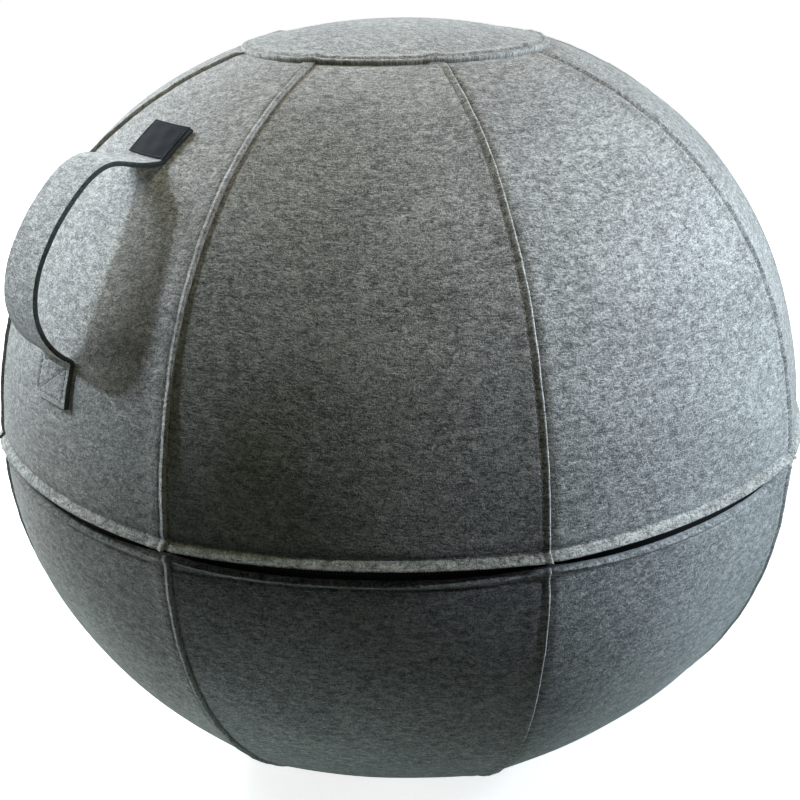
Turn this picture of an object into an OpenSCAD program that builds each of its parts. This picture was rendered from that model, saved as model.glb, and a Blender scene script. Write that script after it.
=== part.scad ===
// Inflatable sitting ball in a sewn felt cover with a carrying strap.
// Origin: middle of the round face that stands on the floor. +Z is up.
// The front is -Y, where the strap is. Lengths are in millimetres.

/* [Ball] */
// Radius over the felt at the widest circle
ball_radius = 325; // [290:5:360]
// Height of the crown above the widest circle
top_rise = 320; // [285:5:350]
// Height of the widest circle above the floor
widest_height = 288; // [270:1:305]
// Depth by which the floor presses the round bottom flat
floor_press = 10.5; // [6:0.5:14]
// Wall of the inflated inner ball
ball_wall = 1; // [0.8:0.1:3]

/* [Felt cover] */
// Thickness of the felt
felt_t = 3; // [2:0.5:4]
// Width that two felt pieces overlap in a seam
lap_w = 10; // [6:1:14]
// Rise of the upper piece where it lies over the lower one
lap_rise = 0.8; // [0.4:0.1:1.4]
// Radius of the round piece on top
cap_radius = 120; // [95:5:150]
// Radius of the round piece underneath
base_radius = 120; // [105:5:150]
// Distance of a sewn row from the felt edge
row_inset = 5; // [3:0.5:5.5]
// Width of the sewing thread
thread_w = 0.7; // [0.5:0.1:1]

/* [Zip] */
// Height of the middle of the zip above the widest circle
zip_height = 9.5; // [4:0.5:16]
// Distance from the zip's middle up to the edge of the lip over it
lip_above_zip = 3; // [2.8:0.1:4.5]
// Height of the lip, from its edge to the row that sews it to the zip
lip_h = 7; // [6:0.5:12]
// Distance that the lip's edge stands out from the ball
lip_flare = 4.5; // [4:0.25:7]
// Distance from the zip's middle down to the edge of the lower panels
hem_below_zip = 4.5; // [4.5:0.25:7]
// Width of one zip tape
tape_w = 16; // [14:1:22]
// Thickness of a zip tape
tape_t = 0.6; // [0.4:0.1:0.8]
// Width of one row of zip teeth
teeth_w = 2.5; // [2:0.1:2.8]
// Thickness of the zip teeth
teeth_t = 2; // [1.5:0.1:2.2]
// Part of the turn that has no teeth, in degrees
zip_break = 16; // [12:1:40]
// Length of the slider along the zip
slider_l = 12; // [9:0.5:15]
// Thickness of each of the slider's two plates
plate_t = 1.1; // [0.8:0.1:1.2]
// Length of the pull tab from its pivot
pull_l = 26; // [18:1:32]

/* [Strap] */
// Width of the strap
strap_w = 46; // [36:1:56]
// Thickness of the strap
strap_t = 3.5; // [2:0.5:4.5]
// Height of the strap's upper fold above the widest circle
fold_hi = 242; // [225:0.5:250]
// Height of the strap's lower fold above the widest circle
fold_lo = 116.5; // [95:0.5:130]
// Height of the strap's arch over the line between its folds
arch_rise = 50; // [44:1:60]
// Length of each sewn strap end
strap_end_l = 34; // [24:1:42]
// Distance from the swing axis at which the strap starts to swing
swing_root = 30; // [26:0.5:34]
// Width of the blank tag
tag_w = 47; // [36:1:56]
// Length of the blank tag
tag_l = 34; // [20:1:42]
// Thickness of the blank tag
tag_t = 0.5; // [0.3:0.1:1]

/* [Valve] */
// Distance of the valve below the widest circle
valve_drop = 42; // [36:1:90]
// Radius of the plug's stem
plug_r = 4.5; // [3.5:0.1:6]
// Radius of the plug's flange
plug_flange_r = 9; // [7.5:0.5:12]
// Length of the plug's stem
plug_l = 16; // [12:1:24]

/* [Hidden] */
$fn = 96;

// The panels around the ball and the turn that one takes
panels = 8;
panel_a = 360 / panels;
// The angle of the front, from +X
front_a = -90;
back_a = 90;
// Roundness of the upper and the lower half: 2 is an ellipse, more is squarer
upper_n = 2.18;
lower_n = 2.06;
// Straight steps that stand for the curve of a panel and of a round end piece
panel_steps = 16;
disc_steps = 6;

// Clearance between felt layers, and between curved pieces with steps of their own
layer_gap = 0.1;
curve_gap = 0.3;
// Clearance between pieces that touch, and between pieces that run past each other
touch_gap = 0.05;
run_gap = 0.2;

// Height of the lower felt layer's upper face inside a seam, from the outside
under_d = -felt_t / 2;
// Far enough to cut right through the ball
reach = ball_radius * 1.5;
height = widest_height + top_rise;
// Depth of the lower half below the widest circle, if it were not pressed flat
lower_drop = widest_height + floor_press;

// A point of the outline in its half plane, for an angle from -90 to 90
function outline(t) = t >= 0
    ? [ball_radius * pow(cos(t), 2 / upper_n), top_rise * pow(sin(t), 2 / upper_n)]
    : [ball_radius * pow(cos(t), 2 / lower_n), -lower_drop * pow(-sin(t), 2 / lower_n)];

// The slope's two parts there, and the outward direction of length 1
function slope(t) =
    let (n = t >= 0 ? upper_n : lower_n, drop = t >= 0 ? top_rise : lower_drop, e = 2 - 2 / n)
    [pow(cos(t), e) / ball_radius, sign(t) * pow(abs(sin(t)), e) / drop];
function outward(t) = slope(t) / norm(slope(t));

// A point at a distance d outside the felt, pressed flat where it meets the floor
function skin(t, d) =
    let (p = outline(t) + d * outward(t))
    [p[0], max(p[1] + widest_height, max(0, -d))];

// The outline's angle at a height over the widest circle, and at a radius
function t_at_height(z) = z >= 0
    ? asin(pow(z / top_rise, upper_n / 2))
    : -asin(pow(-z / lower_drop, lower_n / 2));
function t_top_radius(r) = acos(pow(r / ball_radius, upper_n / 2));
function t_low_radius(r) = -acos(pow(r / ball_radius, lower_n / 2));

function steps(a, b, n) = [for (i = [0 : n]) a + (b - a) * i / n];
function backwards(v) = [for (i = [len(v) - 1 : -1 : 0]) v[i]];
function degrees_for(len_mm, r) = len_mm / r * 180 / PI;

// Heights of the zip, its lip and its hem
lip_edge = zip_height + lip_above_zip;
lip_fold = lip_edge + lip_h;
hem_edge = zip_height - hem_below_zip;
function lip_d(t) = lip_flare * max(0, lip_fold - outline(t)[1]) / lip_h;

// Rows of the felt pieces, from their lower or upper edge to the round end pieces
t_lip = t_at_height(lip_edge);
t_fold = t_at_height(lip_fold);
t_cap = t_top_radius(cap_radius);
t_cap_end = t_top_radius(cap_radius - lap_w);
t_cap_step = t_top_radius(cap_radius - lap_w - layer_gap);
upper_rows = concat([t_lip], steps(t_fold, t_cap, panel_steps), [t_cap_end]);
cap_rows = steps(t_cap_step, 90, disc_steps);
t_hem = t_at_height(hem_edge);
t_base = t_low_radius(base_radius);
t_base_end = t_low_radius(base_radius - lap_w);
t_base_step = t_low_radius(base_radius - lap_w - layer_gap);
t_floor = t_at_height(-widest_height);
lower_rows = concat(steps(t_hem, t_base, panel_steps), [t_base_end]);
base_rows = concat(steps(t_base_step, t_floor, disc_steps), [-90]);

// Depths of the zip's layers, counted outwards from the felt's outer face
tape_out = -felt_t - curve_gap;
tape_in = tape_out - tape_t;
teeth_out = tape_out + touch_gap + teeth_t;
top_plate_in = teeth_out + run_gap;
top_plate_out = top_plate_in + plate_t;
low_plate_out = tape_in - run_gap;
low_plate_in = low_plate_out - plate_t;
post_w = 0.7;
post_room = post_w / 2 + 0.15;
slider_half_w = hem_below_zip - 0.3;
tape_far = post_room + tape_w;

// The inner ball's distance below the felt's outer face, deeper behind the zip
ball_d = -felt_t - curve_gap;
behind_tape = tape_in - curve_gap;
behind_slider = low_plate_in - curve_gap;
slider_room = slider_half_w + 1;
groove = [
    [-tape_far - 4, ball_d], [-tape_far - 1, behind_tape],
    [-slider_room - 1, behind_tape], [-slider_room, behind_slider],
    [slider_room, behind_slider], [slider_room + 1, behind_tape],
    [tape_far + 1, behind_tape], [tape_far + 4, ball_d]
];
groove_low = t_at_height(zip_height + groove[0][0]);
groove_high = t_at_height(zip_height + groove[7][0]);
ball_rows = concat(
    [[-90, ball_d]],
    [for (t = steps(t_floor, groove_low, panel_steps)) [t, ball_d]],
    [for (i = [1 : 6]) [t_at_height(zip_height + groove[i][0]), groove[i][1]]],
    [for (t = steps(groove_high, 90, panel_steps + disc_steps)) [t, ball_d]]
);

// Outline of one felt layer between two depths, with the lip's flare if asked
module layer(rows, d0, d1, lip = false) {
    function at(t, d) = skin(t, d + (lip ? lip_d(t) : 0));
    polygon(concat([for (t = rows) at(t, d0)], [for (t = backwards(rows)) at(t, d1)]));
}

// Turns an outline about the ball's axis, from one angle to another
module turned(a0, a1) {
    rotate([0, 0, a0]) rotate_extrude(angle = a1 - a0) children();
}

// A wall of constant width beside a seam at angle a, from y0 to y1 across it
module seam_wall(a, y0, y1) {
    rotate([0, 0, a]) translate([0, y0, -1]) cube([reach, y1 - y0, height + 2]);
}

// One panel with its left seam at angle 0. The right edge lies over the next panel,
// and a strip on the left lies under the panel before it. far_rows run past its ends.
module panel(rows, far_rows, seat_rows, lip) {
    lap_a = asin((lap_w + 2) / (cap_radius - lap_w - 4));
    difference() {
        turned(-lap_a, panel_a) layer(rows, -felt_t, lap_rise, lip);
        seam_wall(0, -reach, -lap_w);
        turned(-lap_a - 2, 0) layer(far_rows, under_d, lap_rise + 2, lip);
        difference() {
            turned(-lap_a - 2, panel_a + 1) layer(far_rows, 0, lap_rise + 2, lip);
            seam_wall(panel_a, -lap_w, lap_w);
        }
        intersection() {
            turned(panel_a - lap_a, panel_a + 1)
                layer(far_rows, -felt_t - 2, under_d + layer_gap, lip);
            seam_wall(panel_a, -lap_w - layer_gap, lap_w);
        }
        rotate_extrude() layer(seat_rows, under_d, lap_rise + 3);
    }
}

// A round end piece: full felt in the middle, its rim raised over the panels
module round_piece(t_edge, t_step, rows) {
    rotate_extrude() polygon(concat(
        [skin(t_edge, lap_rise), skin(t_step, lap_rise)],
        [for (t = rows) skin(t, 0)],
        [for (t = backwards(rows)) skin(t, -felt_t)],
        [skin(t_step, under_d + layer_gap), skin(t_edge, under_d + layer_gap)]
    ));
}

module upper_panel(k) {
    edge = t_top_radius(cap_radius + layer_gap);
    color("gray") rotate([0, 0, front_a + (k - 1.5) * panel_a])
        panel(upper_rows, concat([t_lip - 1], upper_rows, [t_cap_end + 1]),
            [edge, t_cap_end, t_cap_end + 1], true);
}

module lower_panel(k) {
    edge = t_low_radius(base_radius + layer_gap);
    color("dimgray") rotate([0, 0, front_a + (k - 1.5) * panel_a])
        panel(lower_rows, concat([t_hem + 1], lower_rows, [t_base_end - 1]),
            [edge, t_base_end, t_base_end - 1], false);
}

module top_cap() {
    color("gray") round_piece(t_cap, t_cap_step, cap_rows);
}

module base_disc() {
    color("dimgray") round_piece(t_base, t_base_step, base_rows);
}

// Puts children on the ball at the valve, with +Z pointing outwards from the felt
module at_valve() {
    t = t_at_height(-valve_drop);
    p = skin(t, 0);
    n = outward(t);
    translate([0, p[0], p[1]]) rotate([-acos(n[1]), 0, 0]) children();
}

boss_r = plug_flange_r + 4;
boss_out = ball_d - boss_r * boss_r / ball_radius;
flange_seat = boss_out - 1.7;
flange_t = 1.6;

module inner_ball() {
    color("lightsteelblue") difference() {
        union() {
            rotate_extrude() polygon(concat(
                [for (row = ball_rows) skin(row[0], row[1])],
                [for (row = backwards(ball_rows)) skin(row[0], row[1] - ball_wall)]
            ));
            at_valve() translate([0, 0, flange_seat - plug_l + 2])
                cylinder(r = boss_r, h = boss_out - flange_seat + plug_l - 2);
        }
        at_valve() translate([0, 0, flange_seat]) cylinder(r = plug_flange_r + 0.5, h = 20);
        at_valve() translate([0, 0, flange_seat - plug_l]) cylinder(r = plug_r, h = 20 + plug_l);
    }
}

module valve_plug() {
    color("white") at_valve() translate([0, 0, flange_seat + touch_gap]) {
        cylinder(r = plug_flange_r, h = flange_t);
        translate([0, 0, -plug_l]) cylinder(r = plug_r - touch_gap, h = plug_l + 0.5);
    }
}

// The zip turns about the ball's axis. Its teeth run on both sides of the back.
teeth_a0 = back_a + zip_break / 2;
teeth_a1 = back_a + 360 - zip_break / 2;
slider_a = degrees_for(slider_l, ball_radius);
tape_join_a = 0.05;

// A ring part of the zip, between two distances from the zip's middle
module zip_ring(a0, a1, y0, y1, d0, d1) {
    turned(a0, a1) layer([t_at_height(zip_height + y0), t_at_height(zip_height + y1)], d0, d1);
}

module zip_tape(side) {
    y = [for (s = [0 : 4]) post_room + tape_w * s / 4];
    color("black") turned(back_a + tape_join_a, back_a + 360 - tape_join_a)
        layer([for (v = y) t_at_height(zip_height + side * v)], tape_in, tape_out);
}

module zip_teeth(side) {
    color("black") zip_ring(teeth_a0, teeth_a1, side * post_room,
        side * (post_room + teeth_w), tape_out + touch_gap, teeth_out);
}

// A metal clip round the teeth's edge and the tape, on one side of the zip
module tape_clip(a, side, span_a) {
    w = post_room + teeth_w;
    web = post_room - 0.15;
    clear = 0.05;
    zip_ring(a, a + span_a, side * web, side * w, teeth_out + clear, teeth_out + clear + 0.8);
    zip_ring(a, a + span_a, side * web, side * w, tape_in - clear - 0.6, tape_in - clear);
    zip_ring(a, a + span_a, side * 0.05, side * web, tape_in - clear - 0.6, teeth_out + clear + 0.8);
}

stop_a = degrees_for(2.4, ball_radius);

// Two short clips at the zip's closed end, one on each tape
module zip_end_stops() {
    color("dimgray") for (side = [-1, 1]) tape_clip(teeth_a1 - stop_a, side, stop_a);
}

// One clip across both tapes at the zip's other end
module zip_start_stop() {
    w = post_room + teeth_w;
    clear = 0.05;
    color("dimgray") {
        zip_ring(teeth_a0, teeth_a0 + stop_a, -w, w, teeth_out + clear, teeth_out + clear + 0.8);
        zip_ring(teeth_a0, teeth_a0 + stop_a, -w, w, tape_in - clear - 0.6, tape_in - clear);
        zip_ring(teeth_a0, teeth_a0 + stop_a, -post_w / 2, post_w / 2,
            tape_in - clear - 0.6, teeth_out + clear + 0.8);
    }
}

// The slider rests at the closed end, next to the end stops
slider_a0 = teeth_a1 - stop_a - slider_a - 0.4;
bail_a0 = slider_a0 + slider_a * 0.3;
bail_a1 = slider_a0 + slider_a * 0.8;
bail_leg_a = degrees_for(1.2, ball_radius);
bail_room = 1.6;
bail_half_w = 1;
pull_bar_r = 0.55;
bail_out = top_plate_out + bail_room;
pull_axis_d = top_plate_out + bail_room / 2;
pull_axis_a = bail_a0 + bail_leg_a + degrees_for(pull_bar_r + 0.3, ball_radius);
pull_axis_r = skin(t_at_height(zip_height), pull_axis_d)[0];

module zip_slider() {
    w = slider_half_w;
    wall = 0.9;
    a0 = slider_a0;
    a1 = slider_a0 + slider_a;
    color("dimgray") {
        zip_ring(a0, a1, -w, w, top_plate_in, top_plate_out);
        zip_ring(a0, a1, -w, w, low_plate_in, low_plate_out);
        for (side = [-1, 1])
            zip_ring(a0, a1, side * (w - wall), side * w, tape_out + run_gap, top_plate_out);
        zip_ring(a1 - slider_a / 3, a1, -post_w / 2, post_w / 2, low_plate_in, top_plate_out);
        zip_ring(bail_a0, bail_a1, -bail_half_w, bail_half_w, bail_out, bail_out + 0.9);
        for (a = [bail_a0, bail_a1 - bail_leg_a])
            zip_ring(a, a + bail_leg_a, -bail_half_w, bail_half_w, top_plate_in, bail_out + 0.9);
    }
}

// The pull tab hangs on a bar under the slider's bail and lies along the zip
pull_w = 2 * (bail_half_w + 0.3 + 1);
pull_t = 1.1;
pull_eye_l = 9;

module zip_pull() {
    arm = pull_w / 2 - bail_half_w - 0.3;
    color("silver") rotate([0, 0, pull_axis_a])
        translate([pull_axis_r, 0, widest_height + zip_height]) {
            translate([0, 0, -pull_w / 2]) cylinder(r = pull_bar_r, h = pull_w);
            for (side = [-1, 1])
                translate([-pull_t / 2, -pull_eye_l, side > 0 ? pull_w / 2 - arm : -pull_w / 2])
                    cube([pull_t, pull_eye_l, arm]);
            translate([-pull_t / 2, -pull_l, -pull_w / 2])
                cube([pull_t, pull_l - pull_eye_l + 1, pull_w]);
        }
}

// The strap's two folds, a little above the felt, in the front's half plane
strap_d0 = layer_gap;
strap_d1 = layer_gap + strap_t;
t_hi = t_at_height(fold_hi);
t_lo = t_at_height(fold_lo);
p_hi = skin(t_hi, (strap_d0 + strap_d1) / 2);
p_lo = skin(t_lo, (strap_d0 + strap_d1) / 2);
fold_gap = norm(p_lo - p_hi);
along = (p_lo - p_hi) / fold_gap;
across = [-along[1], along[0]];
chord_a = atan2(along[1], along[0]);

// The strap's middle line: a Bezier curve with three pull points, in the line's own frame
arch = [
    [0, 0], [0.22 * fold_gap, arch_rise], [-0.21 * fold_gap, 0.55 * arch_rise],
    [0.97 * fold_gap, 1.98 * arch_rise], [fold_gap, 0]
];
arch_steps = 30;
function steps_between(points) = [for (i = [1 : len(points) - 1]) points[i] - points[i - 1]];
function bezier(points, u) = len(points) == 1 ? points[0]
    : bezier([for (i = [1 : len(points) - 1]) points[i - 1] + u * (points[i] - points[i - 1])], u);
function arch_at(u) = bezier(arch, u);
function arch_way(u) = let (w = bezier(steps_between(arch), u)) w / norm(w);
function arch_side(u, d) = arch_at(u) + d * [-arch_way(u)[1], arch_way(u)[0]];

// Places children so that their X runs out from the ball's axis at the front and Y up
module in_front_plane() {
    rotate([90, 0, front_a]) children();
}

module whole_arch() {
    us = steps(0, 1, arch_steps);
    in_front_plane() translate([p_hi[0], p_hi[1], -strap_w / 2]) rotate([0, 0, chord_a])
        linear_extrude(height = strap_w) polygon(concat(
            [for (u = us) arch_side(u, strap_t / 2)],
            [for (u = backwards(us)) arch_side(u, -strap_t / 2)]
        ));
}

// A round bar about the strap's swing axis, for the line where it starts to swing
module swing_core(r, from, to) {
    in_front_plane() translate([p_hi[0], p_hi[1], 0]) rotate([0, 0, chord_a])
        rotate([0, 90, 0]) translate([0, 0, from]) cylinder(r = r, h = to - from);
}

// A felt strip of the strap's width on the ball, from one height angle to another
module sewn_strip(t0, t1, d0, d1, w) {
    half_a = asin(w / 2 / (cap_radius + 20)) + 1;
    intersection() {
        turned(front_a - half_a, front_a + half_a) layer(steps(t0, t1, 3), d0, d1);
        translate([-w / 2, -reach, 0]) cube([w, reach, height + 2]);
    }
}

end_a = degrees_for(strap_end_l, ball_radius);
tag_a = degrees_for(tag_l, ball_radius);
// The tag and its rows start clear of the strap's fold
tag_from_fold = strap_t + 1;
tag_inset = 2;

module strap_loop() {
    color("gray") difference() {
        whole_arch();
        swing_core(swing_root + layer_gap, -30, fold_gap + 30);
    }
}

module strap_end_upper() {
    color("gray") union() {
        sewn_strip(t_hi, t_hi + end_a, strap_d0, strap_d1, strap_w);
        intersection() {
            whole_arch();
            swing_core(swing_root - layer_gap, -30, fold_gap / 2);
        }
    }
}

module strap_end_lower() {
    color("gray") union() {
        sewn_strip(t_lo - end_a, t_lo, strap_d0, strap_d1, strap_w);
        intersection() {
            whole_arch();
            swing_core(swing_root - layer_gap, fold_gap / 2, fold_gap + 30);
        }
    }
}

tag_d = strap_d1 + layer_gap;

module blank_tag() {
    color("black") sewn_strip(t_hi + degrees_for(tag_from_fold, ball_radius), t_hi + tag_a,
        tag_d, tag_d + tag_t, tag_w);
}

thread_d = 0.05;
thread_t = 0.3;

// A straight sewn row in the front view, between two points over the floor
module front_row(a, b) {
    l = norm(b - a);
    translate([a[0], 0, a[1]]) rotate([0, -atan2(b[1] - a[1], b[0] - a[0]), 0])
        translate([0, -reach, -thread_w / 2]) cube([l, reach, thread_w]);
}

// Sewn rows projected from the front onto a surface at depth d
module front_stitching(t0, t1, d) {
    intersection() {
        turned(front_a - 12, front_a + 12) layer(steps(t0, t1, 3), d, d + thread_t);
        children();
    }
}

module strap_stitching() {
    x = strap_w / 2 - row_inset;
    low = skin(t_lo - end_a, 0)[1] + row_inset;
    high = skin(t_lo, 0)[1] - row_inset;
    color("silver") front_stitching(t_lo - end_a, t_lo, strap_d1 + thread_d) union() {
        front_row([-x, low], [-x, high]);
        front_row([x, low], [x, high]);
        front_row([-x, low], [x, low]);
        front_row([-x, high], [x, high]);
        front_row([-x, low], [x, high]);
    }
}

module tag_stitching() {
    x = tag_w / 2 - tag_inset;
    t_low = t_hi + degrees_for(tag_from_fold, ball_radius);
    low = skin(t_low + degrees_for(tag_inset, ball_radius), 0)[1];
    high = skin(t_hi + tag_a - degrees_for(tag_inset, ball_radius), 0)[1];
    color("black") front_stitching(t_low, t_hi + tag_a, tag_d + tag_t + thread_d) union() {
        front_row([-x, low], [-x, high]);
        front_row([x, low], [x, high]);
        front_row([-x, low], [x, low]);
        front_row([-x, high], [x, high]);
    }
}

// A sewn ring near the edge of a round end piece
module ring_stitching(t_edge, inward) {
    half_a = degrees_for(thread_w, ball_radius) / 2;
    t = t_edge + inward * degrees_for(row_inset, ball_radius);
    color("silver") rotate_extrude()
        layer([t - half_a, t + half_a], lap_rise + thread_d, lap_rise + thread_d + thread_t);
}

// One sewn row down each seam, on the upper layer and on the panels' own straight steps.
// It runs from the height `high` or `low` to just before the round end piece.
module seam_stitching(rows, t_end, low, high) {
    own_rows = concat([for (i = [0 : panel_steps - 1]) rows[i]], [t_end]);
    for (k = [1 : panels]) rotate([0, 0, front_a + (k - 0.5) * panel_a]) intersection() {
        turned(-4, 0) layer(own_rows, lap_rise + thread_d, lap_rise + thread_d + thread_t);
        translate([0, -row_inset - thread_w / 2, widest_height + low])
            cube([reach, thread_w, high - low]);
    }
}

// A sewn ring that runs over the panels and steps up at each lap
module level_stitching(z) {
    half_a = degrees_for(thread_w, ball_radius) / 2;
    t = t_at_height(z);
    lap_a = degrees_for(lap_w + 0.3, ball_radius);
    on_lap_a = degrees_for(lap_w - 0.2, ball_radius);
    for (k = [1 : panels]) rotate([0, 0, front_a + (k - 1.5) * panel_a]) {
        turned(0.1, panel_a - lap_a) layer([t - half_a, t + half_a], thread_d, thread_d + thread_t);
        turned(panel_a - on_lap_a, panel_a)
            layer([t - half_a, t + half_a], lap_rise + thread_d, lap_rise + thread_d + thread_t);
    }
}

module cap_stitching() {
    ring_stitching(t_cap, 1);
}

module base_stitching() {
    ring_stitching(t_base, -1);
}

lip_row = lip_fold + thread_w;
hem_row = hem_edge - row_inset - 2;
row_gap = 1.5;

module upper_seam_stitching() {
    color("silver") seam_stitching(steps(t_fold, t_cap, panel_steps), t_cap - 0.3,
        lip_row + row_gap, top_rise);
}

module lower_seam_stitching() {
    color("silver") seam_stitching(lower_rows, t_base + 0.3,
        -widest_height - 1, hem_row - row_gap);
}

module lip_stitching() {
    color("silver") level_stitching(lip_row);
}

module hem_stitching() {
    color("silver") level_stitching(hem_row);
}

inner_ball();
valve_plug();
top_cap();
base_disc();
for (k = [1 : panels]) {
    upper_panel(k);
    lower_panel(k);
}
zip_tape(1);  // zip_tape_upper
zip_tape(-1);  // zip_tape_lower
zip_teeth(1);  // zip_teeth_upper
zip_teeth(-1);  // zip_teeth_lower
zip_end_stops();
zip_start_stop();
zip_slider();
zip_pull();
strap_loop();
strap_end_upper();
strap_end_lower();
blank_tag();
strap_stitching();
tag_stitching();
cap_stitching();
base_stitching();
upper_seam_stitching();
lower_seam_stitching();
lip_stitching();
hem_stitching();
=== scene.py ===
"""The looks of the sitting ball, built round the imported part.

The felt cover is made of panels, a cap and a base piece with real thickness, laps, lip and hem.
Sewing threads, zip tapes, zip teeth, the carrying strap and the blank tag are meshes of their own.
"""

import math

import bpy
import numpy as np
from mathutils import Matrix, Vector


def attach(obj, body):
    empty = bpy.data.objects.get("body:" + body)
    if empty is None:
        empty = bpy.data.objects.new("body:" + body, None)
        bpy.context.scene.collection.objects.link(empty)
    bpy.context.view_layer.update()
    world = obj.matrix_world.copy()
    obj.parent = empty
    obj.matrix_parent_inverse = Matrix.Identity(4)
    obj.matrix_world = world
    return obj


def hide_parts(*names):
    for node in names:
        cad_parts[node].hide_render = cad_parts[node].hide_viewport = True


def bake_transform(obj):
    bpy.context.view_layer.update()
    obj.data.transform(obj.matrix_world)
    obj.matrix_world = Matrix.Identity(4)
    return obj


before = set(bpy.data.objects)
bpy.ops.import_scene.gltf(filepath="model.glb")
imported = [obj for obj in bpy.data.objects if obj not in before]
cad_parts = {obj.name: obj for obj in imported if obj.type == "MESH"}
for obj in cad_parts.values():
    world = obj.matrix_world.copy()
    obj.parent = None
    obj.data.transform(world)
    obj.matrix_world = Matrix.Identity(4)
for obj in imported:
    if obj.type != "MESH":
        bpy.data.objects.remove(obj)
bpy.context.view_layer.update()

# Sizes are in millimetres and angles in degrees, as in the part's source. MM makes them metres.
MM = 0.001

# The ball's outline. Without the floor the lower half would reach FLOOR_PRESS further down
BALL_R = 325.0
TOP_RISE = 320.0
WIDEST = 288.0
FLOOR_PRESS = 10.5
LOWER_DROP = WIDEST + FLOOR_PRESS
UPPER_N, LOWER_N = 2.18, 2.06

# The felt cover
PANELS = 8
PANEL_A = 360.0 / PANELS
FELT_T = 3.0
LAP_W = 10.0
CAP_R = 120.0
BASE_R = 120.0
ROW_INSET = 5.0
# A cut edge is rounded over this reach, by this drop
EDGE_REACH, EDGE_DROP = 1.2, 0.8
# Felt bends round the ball along a panel but hardly across it, so the seams stand out as ridges.
# They are full up to one angle of the outline and fade over another.
RIDGE = 5.0
RIDGE_FULL_TO, RIDGE_FADE = 35.0, 33.0

# Height of an upper layer's edge on its lap, and depth of the lower layer beside it
LAP_UP = 1.9
LAP_DOWN = 1.35
LAYER_GAP = 0.15
# The upper layer's steps up, each as a share of LAP_UP, its start from the edge and its run
LAP_STEPS = [(0.3, 18.0, 8.0), (0.7, 5.4, 4.6)]
# The lower layer dips over LAP_DIP beside the edge. A panel's inner face is lifted from UNDER_LAP
# on by the layer under it, and tucked in over TUCK_REACH where it is that layer itself.
LAP_DIP = 6.0
UNDER_LAP, UNDER_RUN, UNDER_FACE_RUN = 13.0, 2.5, 3.0
INNER_LIFT, INNER_TUCK, TUCK_REACH = 1.9, 0.2, 9.0
# Where a round piece starts to cover the panels
COVER_FADE = 8.0

# The zip and the felt along it, over the widest circle
ZIP_H = 9.5
LIP_EDGE = ZIP_H + 3.0
LIP_FOLD = LIP_EDGE + 5.8
LIP_FLARE = 5.4
LIP_ROW = LIP_FOLD + 0.7
LIP_SWELL_UP = 7.0
HEM_EDGE = ZIP_H - 6.8
HEM_ROW = HEM_EDGE - ROW_INSET - 0.2
HEM_RISE = 4.6
HEM_RISE_REACH = 45.0
HEM_ROLL_IN = 2.5
TAPE_W, TAPE_T = 16.0, 0.6
TAPE_OUT = -FELT_T - 0.3
TAPE_RIB, TAPE_RIB_PITCH = 0.06, 2.0
TEETH_FROM, TEETH_W, TEETH_T = 0.5, 2.5, 2.0
TEETH_PITCH = 2.2
ZIP_BREAK = 16.0

# Soft ridges and grooves, each as its height or depth and its half width
LIP_GROOVE, LIP_SWELL = (0.75, 1.4), (0.4, 5.0)
HEM_GROOVE, HEM_ROLL = (0.8, 1.0), (2.0, 1.7)
SEAM_GROOVE, SEAM_CREASE, SEAM_BUMP = (0.3, 0.9), (0.8, 1.0), (1.3, 7.0)
CAP_GROOVE, STRAP_GROOVE, TAG_GROOVE = (0.75, 1.5), (0.5, 1.1), (0.12, 0.8)
SEAM_CREASE_AT = 0.7

# The strap and its tag
STRAP_W, STRAP_T = 46.0, 3.5
FOLD_HI, FOLD_LO = 242.0, 116.5
ARCH_RISE = 50.0
STRAP_END = 34.0
STRAP_SIDE_R = 0.6
STRAP_FLOAT = 0.1
HUG_RUN = 14.0
TAG_W, TAG_L, TAG_T = 47.0, 31.5, 0.5
TAG_FROM = 0.3

# Sewing
STITCH_PITCH = 4.2
STITCH_L = 3.1
THREAD_R = 0.34
TUBE_SIDES = 6

# Each piece is cut from its own stretch of felt, so the grain differs from piece to piece
PANEL_STRETCH, LOWER_STRETCH = (1700.0, 900.0), 450.0
CAP_STRETCH, BASE_STRETCH, STRAP_STRETCH = 300.0, 5300.0, 2600.0

rng = np.random.default_rng(7)


def smooth(x):
    """0 below 0, 1 above 1, and a soft step between."""
    x = np.clip(x, 0.0, 1.0)
    return x * x * (3.0 - 2.0 * x)


def bell(x):
    return np.exp(-x * x)


def swell(q, height, width):
    """Height of a soft ridge, or depth of a soft groove, at q from its middle."""
    return height * bell(q / width)


def half_of(t):
    """Cosine and sine of the outline's angle, and the exponent and height of its half."""
    c, s = np.cos(np.radians(t)), np.sin(np.radians(t))
    return c, s, np.where(s >= 0, UPPER_N, LOWER_N), np.where(s >= 0, TOP_RISE, LOWER_DROP)


def outline(t):
    """Radius and height over the widest circle. t is -90 at the floor and 90 at the top."""
    c, s, n, drop = half_of(t)
    return BALL_R * np.abs(c) ** (2 / n), np.sign(s) * drop * np.abs(s) ** (2 / n)


def outward(t):
    """The two parts of the outline's outward direction."""
    c, s, n, drop = half_of(t)
    out_r = np.abs(c) ** (2 - 2 / n) / BALL_R
    out_z = np.sign(s) * np.abs(s) ** (2 - 2 / n) / drop
    length = np.hypot(out_r, out_z)
    return out_r / length, out_z / length


def skin(t, d):
    """Radius and height over the floor at d outside the felt, pressed flat on the floor."""
    r, z = outline(t)
    out_r, out_z = outward(t)
    return r + d * out_r, np.maximum(z + d * out_z + WIDEST, np.maximum(0.0, -d))


T_TABLE = np.linspace(-90.0, 90.0, 14401)
T_STEPS = np.hypot(*(np.diff(v) for v in outline(T_TABLE)))
ARC_TABLE = np.concatenate([[0.0], np.cumsum(T_STEPS)])
ARC_TABLE -= np.interp(0.0, T_TABLE, ARC_TABLE)


def arc(t):
    """Length along the outline from the widest circle."""
    return np.interp(t, T_TABLE, ARC_TABLE)


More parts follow.
